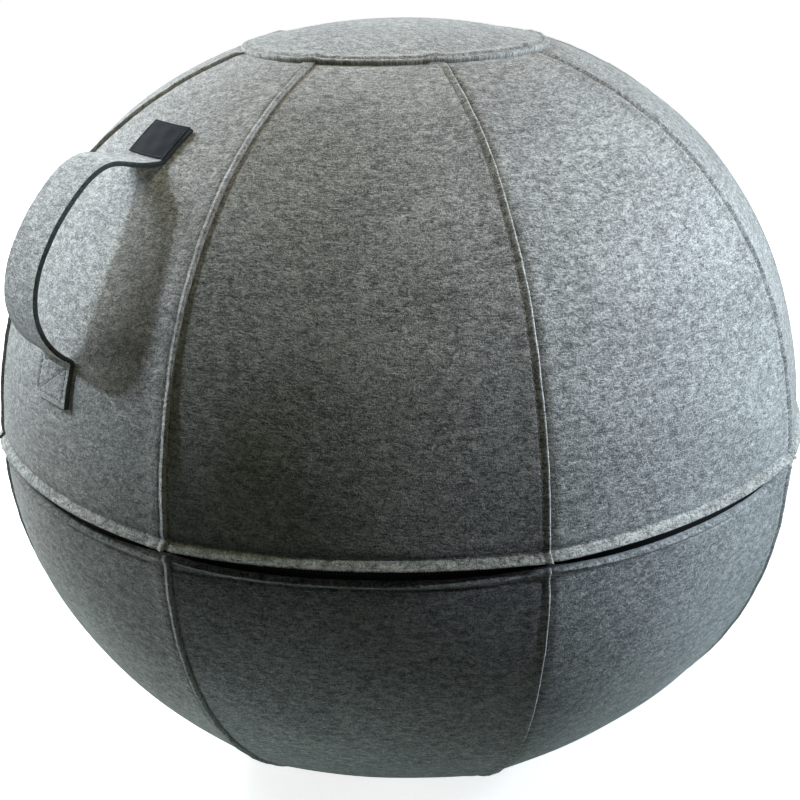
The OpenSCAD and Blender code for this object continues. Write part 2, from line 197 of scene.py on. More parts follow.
def at_arc(s):
    return np.interp(s, ARC_TABLE, T_TABLE)


def at_height(z):
    return np.interp(z, outline(T_TABLE)[1], T_TABLE)


def at_radius(r, side):
    """The outline's angle at a radius, on the upper (1) or lower (-1) half."""
    t = np.linspace(0.0, 90.0, 7201) * side
    radii = outline(t)[0]
    return float(np.interp(r, radii[::-1], t[::-1]))


T_CAP = at_radius(CAP_R, 1)
T_CAP_END = at_radius(CAP_R - LAP_W, 1)
T_BASE = at_radius(BASE_R, -1)
T_BASE_END = at_radius(BASE_R - LAP_W, -1)


def place(phi, r, z):
    """Points in metres, at phi degrees round the ball from the front towards +X."""
    a = np.radians(phi)
    return np.stack([r * np.sin(a), -r * np.cos(a), z + 0.0 * a], -1) * MM


def off_middle(phi):
    """Degrees from the nearest panel's middle, at most half a panel."""
    return (phi + PANEL_A / 2) % PANEL_A - PANEL_A / 2


def ridge(t, phi):
    fade = 1 - smooth((np.abs(t) - RIDGE_FULL_TO) / RIDGE_FADE)
    return RIDGE * fade * (off_middle(phi) / (PANEL_A / 2)) ** 2


# Waves along a seam, as length and height, and waves of the whole cover, as counts round and up
PUCKERS = [(13.0, 0.5), (22.0, 0.8), (41.0, 1.0)]
PUCKER_DEPTH, PUCKER_REACH = 0.2, 10.0
SWAYS = [(5, 3), (11, -6), (17, 9), (7, -13)]
SWAY_DEPTH = 0.18
# Waves of a cut edge, as height, length and turn from seam to seam
WANDERS = [(0.22, 17.0, 1.7), (0.08, 5.3, 2.9), (0.03, 2.3, 0.6)]
PUCKER_PHASE = rng.uniform(0, 2 * np.pi, (PANELS, len(PUCKERS)))
SWAY_PHASE = rng.uniform(0, 2 * np.pi, len(SWAYS))


def pucker(seam, s, x):
    """Small waves that the sewing draws into the felt beside a seam. x is across the seam."""
    wave = sum(a * np.sin(2 * np.pi * s / length + PUCKER_PHASE[seam % PANELS, i])
               for i, (length, a) in enumerate(PUCKERS))
    return PUCKER_DEPTH * wave * np.exp(-np.abs(x + ROW_INSET) / PUCKER_REACH)


def sway(t, phi):
    """Faint unevenness of the whole cover, none at the zip and the round pieces."""
    a, b = np.radians(phi), np.radians(t)
    wave = sum(np.sin(m * a + n * b + phase) for (m, n), phase in zip(SWAYS, SWAY_PHASE))
    off_zip = smooth((np.abs(t) - 6.0) / 12.0)
    off_ends = 1 - smooth((np.abs(t) - 58.0) / 10.0)
    return SWAY_DEPTH * wave * off_zip * off_ends


def raw_edge(q):
    """The trimmed edge of thick felt is rounded: how far its face drops at q from the edge."""
    return EDGE_DROP * np.clip(1 - q / EDGE_REACH, 0, 1) ** 2


def edge_wander(seam, s):
    """A hand-guided edge isn't dead straight."""
    return sum(height * np.sin(s / length + turn * seam) for height, length, turn in WANDERS)


def lap_rise(e):
    """The felt climbs a little over the lap's far side and most from the stitches to its edge."""
    return LAP_UP * sum(share * smooth((start - e) / run) for share, start, run in LAP_STEPS)


def lap_profile(x, e, covered):
    """Heights of a panel's outer and inner face.

    x is the distance from its left seam, e from its right edge, and covered is 1 where a round
    piece lies over it.
    """
    outer = (lap_rise(e) - swell(e - ROW_INSET, *SEAM_GROOVE)
             - LAP_DOWN * smooth((LAP_DIP - x) / LAP_DIP)
             - swell(x - SEAM_CREASE_AT, *SEAM_CREASE) - raw_edge(e))
    lifted = smooth((UNDER_LAP - e) / UNDER_RUN)
    inner = -FELT_T + INNER_LIFT * lifted - INNER_TUCK * smooth((TUCK_REACH - x) / TUCK_REACH)
    outer_under = LAP_DOWN * (smooth((UNDER_LAP - e) / UNDER_FACE_RUN) - 1)
    inner_under = -FELT_T - INNER_TUCK + (INNER_LIFT + INNER_TUCK) * lifted
    return outer + (outer_under - outer) * covered, inner + (inner_under - inner) * covered


def lip_flare(z):
    """The lip stands out below the row that sews it to the zip, with a crease at that row."""
    return LIP_FLARE * np.clip((LIP_FOLD - z) / (LIP_FOLD - LIP_EDGE), 0, 1)


def hem_rise(phi):
    """The doubled felt at a seam is stiffer, so the lower panels' edge rises there."""
    return HEM_RISE * np.abs(off_middle(phi) / (PANEL_A / 2)) ** 3.5


def seam_waves(k, s, x, e, covered):
    return (pucker(k, s, -e) + pucker(k - 1, s, x)) * (1 - covered)


def upper_heights(t, x, e, phi, k):
    s, z = arc(t), outline(t)[1]
    covered = smooth((COVER_FADE - (arc(T_CAP) - s)) / COVER_FADE)
    outer, inner = lap_profile(x, e, covered)
    outer = outer - raw_edge(s - arc(at_height(LIP_EDGE)))
    outer = (outer - swell(z - LIP_ROW, *LIP_GROOVE)
             + swell(z - LIP_ROW - LIP_SWELL_UP, *LIP_SWELL))
    shared = ridge(t, phi) + sway(t, phi) + lip_flare(z) + seam_waves(k, s, x, e, covered)
    return outer + shared, inner + shared


def lower_heights(t, x, e, phi, k):
    s, z = arc(t), outline(t)[1]
    covered = smooth((COVER_FADE - (s - arc(T_BASE))) / COVER_FADE)
    outer, inner = lap_profile(x, e, covered)
    from_hem = arc(at_height(HEM_EDGE + hem_rise(phi))) - s
    outer = outer - raw_edge(from_hem) - swell(z - HEM_ROW, *HEM_GROOVE)
    outer = outer + swell(from_hem - HEM_ROLL_IN, *HEM_ROLL)
    shared = ridge(t, phi) + sway(t, phi) + seam_waves(k, s, x, e, covered)
    return outer + shared, inner + shared


# A panel's columns: from its left seam, from its right edge, and how many between those
LEFT_X = np.array([-10, -9.6, -8, -5.5, -3, -1, -0.3, 0.3, 0.8, 1.4, 2.1, 3, 4.2, 5.8, 8, 11,
                   15, 20])
RIGHT_E = np.array([22, 18, 15.4, 13.2, 11.6, 10.2, 9, 7.9, 7, 6.3, 5.7, 5.3, 4.9, 4.5, 4, 3.3,
                    2.5, 1.8, 1.3, 0.9, 0.55, 0.25, 0.08, 0])
MIDDLE = 22

# Rows of a piece: from its edge along the zip, from its other end, and the step between those
UPPER_ROWS = [0, 0.15, 0.45, 0.9, 1.6, 2.6, 3.6, 4.6, 5.4, 6.1, 6.7, 7.3, 7.9, 8.6, 9.5, 11, 13]
LOWER_ROWS = [0, 0.15, 0.45, 0.9, 1.6, 2.4, 3.2, 4, 4.6, 5.1, 5.5, 5.9, 6.3, 6.8, 7.4, 8.2, 9.4,
              11, 13.5]
END_ROWS = np.array([14, 12, 10.6, 9.6, 8.4, 6, 3, 0])
ROW_STEP = 2.8
# Rows of a round piece, from its edge
ROUND_ROWS = [0, 0.1, 0.35, 0.7, 1.2, 2, 2.8, 3.6, 4.3, 4.9, 5.4, 6, 6.8, 7.7, 8.8, 10, 11.2,
              12.6, 14.4]


def columns(width):
    """For each row's width, distances from the left seam and from the right edge."""
    f = np.linspace(0, 1, MIDDLE + 2)[1:-1]
    left = np.broadcast_to(LEFT_X, (len(width), len(LEFT_X)))
    right = width[:, None] - RIGHT_E
    middle = left[:, -1:] + (right[:, :1] - left[:, -1:]) * f
    x = np.concatenate([left, middle, right], 1)
    return x, width[:, None] - x


def grid_faces(rows, cols, offset=0, flip=False):
    i, j = np.meshgrid(np.arange(rows - 1), np.arange(cols - 1), indexing="ij")
    a = (offset + i * cols + j).ravel()
    quad = np.stack([a, a + 1, a + cols + 1, a + cols], 1)
    return quad[:, ::-1] if flip else quad


def strip_faces(line_a, line_b):
    """Quads between two lines of as many vertices."""
    a, b = np.asarray(line_a), np.asarray(line_b)
    return np.stack([a[:-1], b[:-1], b[1:], a[1:]], 1)


def ring_index(rings, sides):
    """Vertex numbers of closed rings, each ending with its first vertex again."""
    index = np.arange(rings * sides).reshape(rings, sides)
    return np.concatenate([index, index[:, :1]], 1)


def tube_faces(count, rings, sides):
    """Quads and end caps of short tubes that follow each other in the list of vertices."""
    wrap = ring_index(rings, sides)
    quads = np.concatenate([strip_faces(wrap[i], wrap[i + 1]) for i in range(rings - 1)])
    caps = np.stack([wrap[0, :-1], wrap[-1, :-1][::-1]])
    first = np.arange(count)[:, None, None] * rings * sides
    return (first + quads).reshape(-1, 4), (first + caps).reshape(-1, sides)


def shell(outer, inner):
    """Vertices and faces of a closed felt piece from its two faces' grids."""
    rows, cols = outer.shape[:2]
    n = rows * cols
    index = np.arange(n).reshape(rows, cols)
    faces = [grid_faces(rows, cols), grid_faces(rows, cols, n, True)]
    for line in (index[0], index[::-1, 0], index[-1, ::-1], index[:, -1]):
        faces.append(strip_faces(line + n, line)[:, ::-1])
    return np.concatenate([outer.reshape(-1, 3), inner.reshape(-1, 3)]), np.concatenate(faces)


def make_mesh(name, vertices, faces, material, uv=None, fray_and_painted_light=None, sharp=50.0):
    """A new object. uv is in metres for each vertex. The next argument lightens felt: it is 1 on
    trimmed edges, above 0 where a highlight is painted and below 0 where shade is painted.
    """
    mesh = bpy.data.meshes.new(name)
    mesh.from_pydata(vertices.tolist(), [], [f.tolist() for f in faces])
    mesh.update()
    if uv is not None:
        loops = np.zeros(len(mesh.loops), np.int32)
        mesh.loops.foreach_get("vertex_index", loops)
        layer = mesh.uv_layers.new(name="felt")
        layer.data.foreach_set("uv", uv[loops].astype(np.float32).ravel())
    if fray_and_painted_light is not None:
        layer = mesh.attributes.new("fray_and_painted_light", "FLOAT", "POINT")
        layer.data.foreach_set("value", fray_and_painted_light.astype(np.float32))
    mesh.shade_smooth()
    mesh.set_sharp_from_angle(angle=math.radians(sharp))
    mesh.materials.append(material)
    piece = bpy.data.objects.new(name, mesh)
    bpy.context.scene.collection.objects.link(piece)
    return piece


def finish_piece(piece, node):
    """The piece stands still with the root and takes the place of a node of the part."""
    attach(piece, "root")
    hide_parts(node)


class Nodes:
    """A node tree, with short calls to add and join nodes."""

    def __init__(self, tree):
        self.tree = tree

    def add(self, kind, inputs=None, **settings):
        node = self.tree.nodes.new(kind)
        for key, value in settings.items():
            setattr(node, key, value)
        for key, value in (inputs or {}).items():
            self.set(node.inputs[key], value)
        return node

    def set(self, socket, value):
        if isinstance(value, bpy.types.NodeSocket):
            self.tree.links.new(value, socket)
        else:
            socket.default_value = value

    def math(self, operation, a, b=0.5, c=0.5):
        return self.add("ShaderNodeMath", {0: a, 1: b, 2: c}, operation=operation).outputs[0]

    def length(self, vector):
        return self.add("ShaderNodeVectorMath", {0: vector}, operation="LENGTH").outputs["Value"]

    def mix(self, factor, a, b):
        return self.add("ShaderNodeMix", {"Factor": factor, "A": a, "B": b},
                        data_type="RGBA").outputs["Result"]

    def rays(self):
        """1 for the camera's own rays, and 1 for those and for mirrored rays."""
        path = self.add("ShaderNodeLightPath").outputs
        return path["Is Camera Ray"], self.math("MAXIMUM", path["Is Camera Ray"],
                                                path["Is Glossy Ray"])

    def mapped(self, vector, scale, turn=0.0):
        return self.add("ShaderNodeMapping", {
            "Vector": vector, "Scale": scale, "Rotation": (0, 0, math.radians(turn))}).outputs[0]

    def noise(self, vector, scale, turn=0.0, detail=3.0, roughness=0.6, distortion=0.0):
        """Noise whose grain is 1 / scale metres in each direction."""
        return self.add("ShaderNodeTexNoise", {
            "Vector": self.mapped(vector, scale, turn), "Scale": 1.0, "Detail": detail,
            "Roughness": roughness, "Distortion": distortion}).outputs["Fac"]

    def ramp(self, value, stops):
        node = self.add("ShaderNodeValToRGB", {"Fac": value})
        elements = node.color_ramp.elements
        while len(elements) < len(stops):
            elements.new(0.5)
        for element, (position, colour) in zip(elements, stops):
            element.position = position
            element.color = (*colour, 1.0)
        return node.outputs["Color"]

    def bump(self, height, distance, strength):
        inputs = {"Height": height, "Distance": distance, "Strength": strength}
        return self.add("ShaderNodeBump", inputs).outputs["Normal"]


class Shader(Nodes):
    """A new material's node tree."""

    def __init__(self, name):
        self.material = bpy.data.materials.new(name)
        self.material.use_nodes = True
        super().__init__(self.material.node_tree)

    def principled(self, **values):
        bsdf = self.tree.nodes["Principled BSDF"]
        for key, value in values.items():
            self.set(bsdf.inputs[key.replace("_", " ")], value)

    def cloth_map(self):
        """The piece's flat cloth, in metres."""
        return self.add("ShaderNodeUVMap", uv_map="felt").outputs["UV"]

    def in_object(self):
        return self.add("ShaderNodeTexCoord").outputs["Object"]


def darker(tone, factor):
    return tuple(c * factor for c in tone)


def felt_material(name, tone):
    """Grey melange felt: short fibres, clumps of light and dark wool, and a soft nap."""
    sh = Shader(name)
    uv = sh.cloth_map()
    streak = sh.noise(uv, (360, 820, 1), turn=17, detail=2, roughness=0.65, distortion=0.6)
    cross = sh.noise(uv, (780, 400, 1), turn=-22, detail=2, roughness=0.65, distortion=0.6)
    clump = sh.noise(uv, (130, 210, 1), turn=-8, detail=2, roughness=0.6, distortion=0.6)
    cloud = sh.noise(uv, (11, 15, 1), detail=2)
    grain = sh.noise(uv, (1100, 1300, 1), turn=40, detail=1)
    # Long pale and dark fibres lie over the mix
    fibre = sh.noise(uv, (95, 950, 1), turn=24, detail=1, distortion=1.2)
    other_fibre = sh.noise(uv, (110, 900, 1), turn=-31, detail=1, distortion=1.2)
    pale = sh.ramp(sh.math("MAXIMUM", fibre, other_fibre), [(0.62, (0, 0, 0)), (0.74, (1, 1, 1))])
    dark_wool = sh.ramp(sh.math("MINIMUM", fibre, cross), [(0.27, (1, 1, 1)), (0.39, (0, 0, 0))])
    # Each noise varies about a half, and its weight says how much it sways the mix
    mix = 0.0
    parts = (streak, 0.9), (cross, 0.6), (clump, 0.75), (cloud, 0.25), (grain, 0.75)
    for field, weight in parts:
        mix = sh.math("MULTIPLY_ADD", field, weight, sh.math("ADD", mix, -weight / 2))
    mix = sh.math("MULTIPLY_ADD", pale, 0.2, mix)
    mix = sh.math("MULTIPLY_ADD", dark_wool, -0.17, mix)
    # The attribute lightens frayed edges, and it carries the painted highlights on the lip and the
    # hem's roll and the painted shade in the crease beside each seam
    fray_and_painted_light = sh.add("ShaderNodeAttribute", attribute_name="fray_and_painted_light").outputs["Fac"]
    mix = sh.math("MULTIPLY_ADD", fray_and_painted_light, 0.09, sh.math("ADD", mix, 0.49))
    colour = sh.ramp(mix, [(0.22, darker(tone, 0.32)), (0.5, tone), (0.79, darker(tone, 2.05))])
    height = sh.math("MULTIPLY_ADD", streak, 0.7, sh.math("MULTIPLY", grain, 0.5))
    height = sh.math("MULTIPLY_ADD", clump, 0.9, height)
    sh.principled(Base_Color=colour, Roughness=0.95, Specular_IOR_Level=0.15, Sheen_Weight=0.25,
                  Sheen_Roughness=0.5, Normal=sh.bump(height, 0.0012, 0.55))
    return sh.material


def dark_edge_material():
    """The strap's trimmed sides, coloured much darker than its faces."""
    sh = Shader("strap_cut_edge")
    fibres = sh.noise(sh.cloth_map(), (900, 400, 1), detail=3, distortion=0.5)
    colour = sh.ramp(fibres, [(0.3, (0.05, 0.06, 0.057)), (0.7, (0.16, 0.18, 0.175))])
    sh.principled(Base_Color=colour, Roughness=0.95, Specular_IOR_Level=0.1,
                  Normal=sh.bump(fibres, 0.0006, 0.6))
    return sh.material


def thread_material(name, dark, light):
    sh = Shader(name)
    place_in = sh.in_object()
    twist = sh.add("ShaderNodeTexWave", {
        "Vector": sh.mapped(place_in, (1, 1, 1), 30), "Scale": 420.0, "Distortion": 1.5,
        "Detail": 1.0}).outputs["Fac"]
    fuzz = sh.noise(place_in, (900, 900, 900), detail=2)
    colour = sh.ramp(sh.math("MULTIPLY_ADD", fuzz, 0.5, sh.math("MULTIPLY", twist, 0.5)),
                     [(0.2, dark), (0.75, light)])
    sh.principled(Base_Color=colour, Roughness=0.7, Sheen_Weight=0.2, Sheen_Roughness=0.4,
                  Normal=sh.bump(twist, 0.0001, 0.8))
    return sh.material


def woven_material(name, warp, weft, pitch_u, pitch_v, shine):
    """A plain weave in the cloth's metres, from two crossed bands."""
    sh = Shader(name)
    uv = sh.cloth_map()
    axes = sh.add("ShaderNodeSeparateXYZ", {"Vector": uv}).outputs
    u = sh.math("SINE", sh.math("MULTIPLY", axes["X"], 2 * math.pi / pitch_u))
    v = sh.math("SINE", sh.math("MULTIPLY", axes["Y"], 2 * math.pi / pitch_v))
    weave = sh.math("MULTIPLY_ADD", sh.math("MULTIPLY", u, v), 0.5, 0.5)
    wear_and_painted_light = sh.noise(uv, (300, 500, 1), detail=3)
    shade = sh.math("MULTIPLY_ADD", wear_and_painted_light, 0.5, sh.math("MULTIPLY", weave, 0.5))
    colour = sh.ramp(shade, [(0.15, warp), (0.85, weft)])
    sh.principled(Base_Color=colour, Roughness=0.8, Specular_IOR_Level=shine,
                  Normal=sh.bump(weave, 0.00008, 0.5))
    return sh.material


def coil_material():
    sh = Shader("zip_coil_nylon")
    smear = sh.noise(sh.in_object(), (500, 500, 900), detail=2)
    colour = sh.ramp(smear, [(0.3, (0.006, 0.006, 0.007)), (0.7, (0.013, 0.013, 0.014))])
    sh.principled(Base_Color=colour, Roughness=0.5, Specular_IOR_Level=0.15,
                  Normal=sh.bump(smear, 0.0001, 0.4))
    return sh.material


def metal_material(name, tone, roughness):
    sh = Shader(name)
    place_in = sh.in_object()
    brushed = sh.noise(place_in, (300, 300, 4000), detail=2)
    wear_and_painted_light = sh.noise(place_in, (220, 220, 220), detail=4)
    colour = sh.ramp(wear_and_painted_light, [(0.3, darker(tone, 0.8)), (0.7, tone)])
    rough = sh.math("MULTIPLY_ADD", wear_and_painted_light, 0.25, roughness - 0.1)
    sh.principled(Base_Color=colour, Metallic=1.0, Roughness=rough,
                  Normal=sh.bump(brushed, 0.00005, 0.5))
    return sh.material


def moulded_material(name, tone, roughness):
    """Soft vinyl or moulded plastic with a faint grain."""
    sh = Shader(name)
    place_in = sh.in_object()
    grain = sh.noise(place_in, (700, 700, 700), detail=2)
    cloud = sh.noise(place_in, (14, 14, 14), detail=3)
    colour = sh.ramp(cloud, [(0.3, darker(tone, 0.85)), (0.7, tone)])
    sh.principled(Base_Color=colour, Roughness=roughness, Normal=sh.bump(grain, 0.0001, 0.35))
    return sh.material


FELT = felt_material("grey_melange_felt", (0.342, 0.336, 0.318))
STRAP_EDGE = dark_edge_material()
THREAD = thread_material("grey_thread", (0.16, 0.165, 0.165), (0.42, 0.43, 0.43))
TAG_THREAD = thread_material("black_thread", (0.008, 0.008, 0.009), (0.035, 0.035, 0.038))
TAG_CLOTH = woven_material("black_woven_tag", (0.004, 0.004, 0.005), (0.017, 0.017, 0.021),
                           0.0009, 0.0007, 0.04)
TAPE_CLOTH = woven_material("black_zip_tape", (0.004, 0.004, 0.004), (0.012, 0.012, 0.013),
                            0.0012, 0.0012, 0.06)
COIL = coil_material()
METAL = metal_material("gunmetal_zip_metal", (0.16, 0.16, 0.165), 0.38)
BRIGHT_METAL = metal_material("nickel_pull", (0.3, 0.3, 0.295), 0.4)
VINYL = moulded_material("grey_ball_vinyl", (0.28, 0.31, 0.34), 0.45)
PLUG = moulded_material("white_plug_plastic", (0.72, 0.72, 0.7), 0.4)


def panel(side, k):
    """One felt panel. side is 1 for the upper ones and -1 for the lower ones."""
    upper = side > 0
    half = "upper" if upper else "lower"
    if upper:
        s0, s1, near = arc(at_height(LIP_EDGE)), arc(T_CAP_END), UPPER_ROWS
    else:
        s0, s1, near = arc(at_height(HEM_EDGE)), arc(T_BASE_END), LOWER_ROWS
    length = abs(s1 - s0)
    far = np.linspace(near[-1] + 2.5, length - 16, int((length - 30) / ROW_STEP))
    rows = np.concatenate([near, far, length - END_ROWS])
    t = at_arc(s0 + side * rows)[:, None]
    r = outline(t)[0]
    x, e = columns((r * math.radians(PANEL_A))[:, 0])
    wander = edge_wander(k, arc(t)) * smooth((9 - e) / 7)
    phi = (k - 1.5) * PANEL_A + np.degrees((x + wander) / r)
    if upper:
        t = t + 0 * phi
        outer, inner = upper_heights(t, x, e, phi, k)
    else:
        rise = arc(at_height(HEM_EDGE + hem_rise(phi))) - s0
        t = at_arc(arc(t) + rise * (1 - smooth(rows / HEM_RISE_REACH))[:, None])
        outer, inner = lower_heights(t, x, e, phi, k)
    vertices, faces = shell(place(phi, *skin(t, outer)), place(phi, *skin(t, inner)))
    u = x - (x + e) / 2 + PANEL_STRETCH[0] * k
    v = arc(t) * side + PANEL_STRETCH[1] * k + (0 if upper else LOWER_STRETCH)
    uv = np.stack([u, v], -1).reshape(-1, 2)
    # Cut edges look frayed
    edge_and_painted_light = np.clip(1 - np.minimum(e, rows[:, None]) / 1.5, 0, 1)
    # Painted highlights: the lip band, and faintly the hem's roll, are painted lighter, standing
    # in for the top light they catch
    wear_and_painted_light = 0.5 * smooth((7 - rows) / 3) if upper else swell(rows - 2.4, 0.3, 2.2)
    edge_and_painted_light = np.maximum(edge_and_painted_light, wear_and_painted_light[:, None])
    # Painted shade: the felt is darker in the crease beside the edge lapped over it from the panel
    # on the left
    edge_and_painted_light = (edge_and_painted_light - swell(x - 0.9, 0.5, 1.2)).ravel()
    piece = make_mesh(f"felt_{half}_{k}", vertices, faces if upper else faces[:, ::-1], FELT,
                      np.concatenate([uv, uv + 0.4 * LAP_W]) * MM, np.concatenate([edge_and_painted_light, edge_and_painted_light]))
    finish_piece(piece, f"{half}_panel_{k}")


def seam_bump(phi, r):
    """A round piece stands up a little where it crosses a seam's doubled felt."""
    x = np.radians(off_middle(phi + PANEL_A / 2)) * r
    return swell(x + ROW_INSET, *SEAM_BUMP)


def round_heights(e, phi, r):
    bump = seam_bump(phi, r) * smooth((24 - e) / 12)
    outer = LAP_UP * smooth((16 - e) / 8) - swell(e - ROW_INSET, *CAP_GROOVE) - raw_edge(e)
    inner = -FELT_T + (FELT_T - LAP_DOWN + LAYER_GAP) * smooth((UNDER_LAP - e) / UNDER_RUN)
    return outer + bump, inner + bump


def round_piece(name, node, side, t_edge):
    """The cap (side 1) or the base piece (side -1)."""
    s_edge, s_end = arc(t_edge), arc(90.0 * side)
    length = abs(s_end - s_edge)
    e = np.concatenate([ROUND_ROWS, np.linspace(17, length - 1.0, 34)])[:, None]
    t = at_arc(s_edge + side * e)
    phi = np.linspace(0, 360, 337)[None, :]
    outer, inner = round_heights(e + 0 * phi, phi, outline(t)[0])
    faces_out, faces_in = (place(phi, *skin(t + 0 * phi, d)) for d in (outer, inner))
    rows, cols = outer.shape[0], outer.shape[1] - 1
    grid = np.concatenate([faces_out[:, :-1].reshape(-1, 3), faces_in[:, :-1].reshape(-1, 3)])
    layer = rows * cols
    wrap = ring_index(rows, cols)
    quads = [strip_faces(wrap[i], wrap[i + 1])[:, ::-1] for i in range(rows - 1)]
    quads += [strip_faces(wrap[i], wrap[i + 1]) + layer for i in range(rows - 1)]
    quads.append(strip_faces(wrap[0], wrap[0] + layer))
    # The innermost rings close on a vertex in the middle of each face
    n, last = len(grid), wrap[-1]
    middle = np.array([place(np.array(0.0), *skin(np.array(90.0 * side), np.array(d)))
                       for d in (outer[-1].mean(), inner[-1].mean())])
    fans = [np.stack([last[:-1], last[1:], np.full(cols, n)], 1),
            np.stack([last[1:], last[:-1], np.full(cols, n + 1)], 1) + [layer, layer, 0]]
    faces = [*np.concatenate(quads), *np.concatenate(fans)]
    if side < 0:
        faces = [f[::-1] for f in faces]
    from_middle = (length - e) + 0 * phi[:, :-1]
    a = np.radians(phi[:, :-1])
    flat = np.stack([from_middle * np.sin(a), from_middle * np.cos(a)], -1).reshape(-1, 2)
    stretch = CAP_STRETCH if side > 0 else BASE_STRETCH
    uv = np.concatenate([flat, flat, np.zeros((2, 2))]) + stretch
    edge_and_painted_light = (np.clip(1 - e / 1.3, 0, 1) + 0 * phi[:, :-1]).ravel()
    piece = make_mesh(name, np.concatenate([grid, middle]), faces, FELT, uv * MM,
                      np.concatenate([edge_and_painted_light, edge_and_painted_light, [0, 0]]))
    finish_piece(piece, node)


# The strap's middle line in the front's half plane: a sewn end, the arch and the other sewn end
STRAP_D = STRAP_FLOAT + STRAP_T / 2
T_HI, T_LO = at_height(FOLD_HI), at_height(FOLD_LO)
END_A = math.degrees(STRAP_END / BALL_R)


def run_lengths(points):
    """Length from the first point to each point of a line."""
    return np.concatenate([[0], np.cumsum(np.linalg.norm(np.diff(points, axis=0), axis=1))])


def bezier(points, u):
    while len(points) > 1:
        points = [a + u * (b - a) for a, b in zip(points, points[1:])]
    return points[0]


def strap_line():
    """Points and outward directions along the strap, and the lengths at which its folds lie."""
    top = np.stack(skin(np.linspace(T_HI + END_A, T_HI, 24), STRAP_D), -1)
    low = np.stack(skin(np.linspace(T_LO, T_LO - END_A, 24), STRAP_D), -1)
    gap = np.linalg.norm(low[0] - top[-1])
    along = (low[0] - top[-1]) / gap
    across = np.array([-along[1], along[0]])
    pulls = np.array([[0, 0], [0.22 * gap, ARCH_RISE], [-0.21 * gap, 0.55 * ARCH_RISE],
                      [0.97 * gap, 1.98 * ARCH_RISE], [gap, 0]])
    curve = bezier(list(pulls), np.linspace(0, 1, 120)[1:-1, None])
    arch = top[-1] + curve[:, :1] * along + curve[:, 1:] * across
    rough = np.concatenate([top, arch, low])
    lengths = run_lengths(rough)
    folds = lengths[len(top) - 1], lengths[len(top) + len(arch)]
    s = np.arange(0, lengths[-1], 0.5)
    line = np.stack([np.interp(s, lengths, rough[:, i]) for i in (0, 1)], -1)
    # The felt can't turn sharply at its folds
    reach = 12
    weights = bell(np.arange(-reach, reach + 1) / 5.0)
    weights /= weights.sum()
    padded = np.concatenate([2 * line[0] - line[reach:0:-1], line,
                             2 * line[-1] - line[-2:-reach - 2:-1]])
    line = np.stack([np.convolve(padded[:, i], weights, "valid") for i in (0, 1)], -1)
    way = np.gradient(line, axis=0)
    way /= np.linalg.norm(way, axis=1)[:, None]
    return s, line, np.stack([-way[:, 1], way[:, 0]], -1), folds


STRAP_S, STRAP_LINE, STRAP_OUT, (S_HI, S_LO) = strap_line()
STRAP_LENGTH = float(STRAP_S[-1])


def on_strap(s, a, b):
    """A point in metres, at s down the strap, a across it and b out from its middle line."""
    r, z, out_r, out_z = (np.interp(s, STRAP_S, v) for v in (*STRAP_LINE.T, *STRAP_OUT.T))
    hugs = 1 - smooth((s - S_HI) / HUG_RUN) * smooth((S_LO - s) / HUG_RUN)
    t = at_height(z - WIDEST)
    b = b + hugs * ridge(t, np.degrees(a / r))
    r, z = r + b * out_r, z + b * out_z
    recess = r - np.sqrt(np.maximum(r * r - a * a, 0))
    return np.stack([a + 0 * s, -(r - hugs * recess), z + 0 * a], -1) * MM


def box_rows():
    """The strap's lower stitching: a box with one diagonal, as pairs of (s, a) points."""
    x, high, low = STRAP_W / 2 - ROW_INSET, S_LO + ROW_INSET, STRAP_LENGTH - ROW_INSET
    a, b, c, d = (high, -x), (low, -x), (low, x), (high, x)
    return [(a, b), (b, c), (c, d), (d, a), (b, d)]


def near_rows(s, a):
    """Distance to the nearest row of the box."""
    far = np.full(np.broadcast(s, a).shape, 1e3)
    for (s0, a0), (s1, a1) in box_rows():
        ds, da = s1 - s0, a1 - a0
        f = np.clip(((s - s0) * ds + (a - a0) * da) / (ds ** 2 + da ** 2), 0, 1)
        far = np.minimum(far, np.hypot(s - s0 - f * ds, a - a0 - f * da))
    return far


def strap_section():
    """The strap's section, as places across it and out from its middle: face, side, face, side."""
    half, thick = STRAP_W / 2, STRAP_T / 2
    face = np.concatenate([[-half + STRAP_SIDE_R], np.linspace(1.5 - half, half - 1.5, 40),
                           [half - STRAP_SIDE_R]])
    corner = [(half - STRAP_SIDE_R * (1 - math.cos(q)), thick - STRAP_SIDE_R * (1 - math.sin(q)))
              for q in np.radians([75, 45, 15])]
    side = corner + [(half, 0.0)] + [(a, -b) for a, b in corner[::-1]]
    return np.array([(a, thick) for a in face] + side + [(a, -thick) for a in face[::-1]]
                    + [(-a, -b) for a, b in side]).T


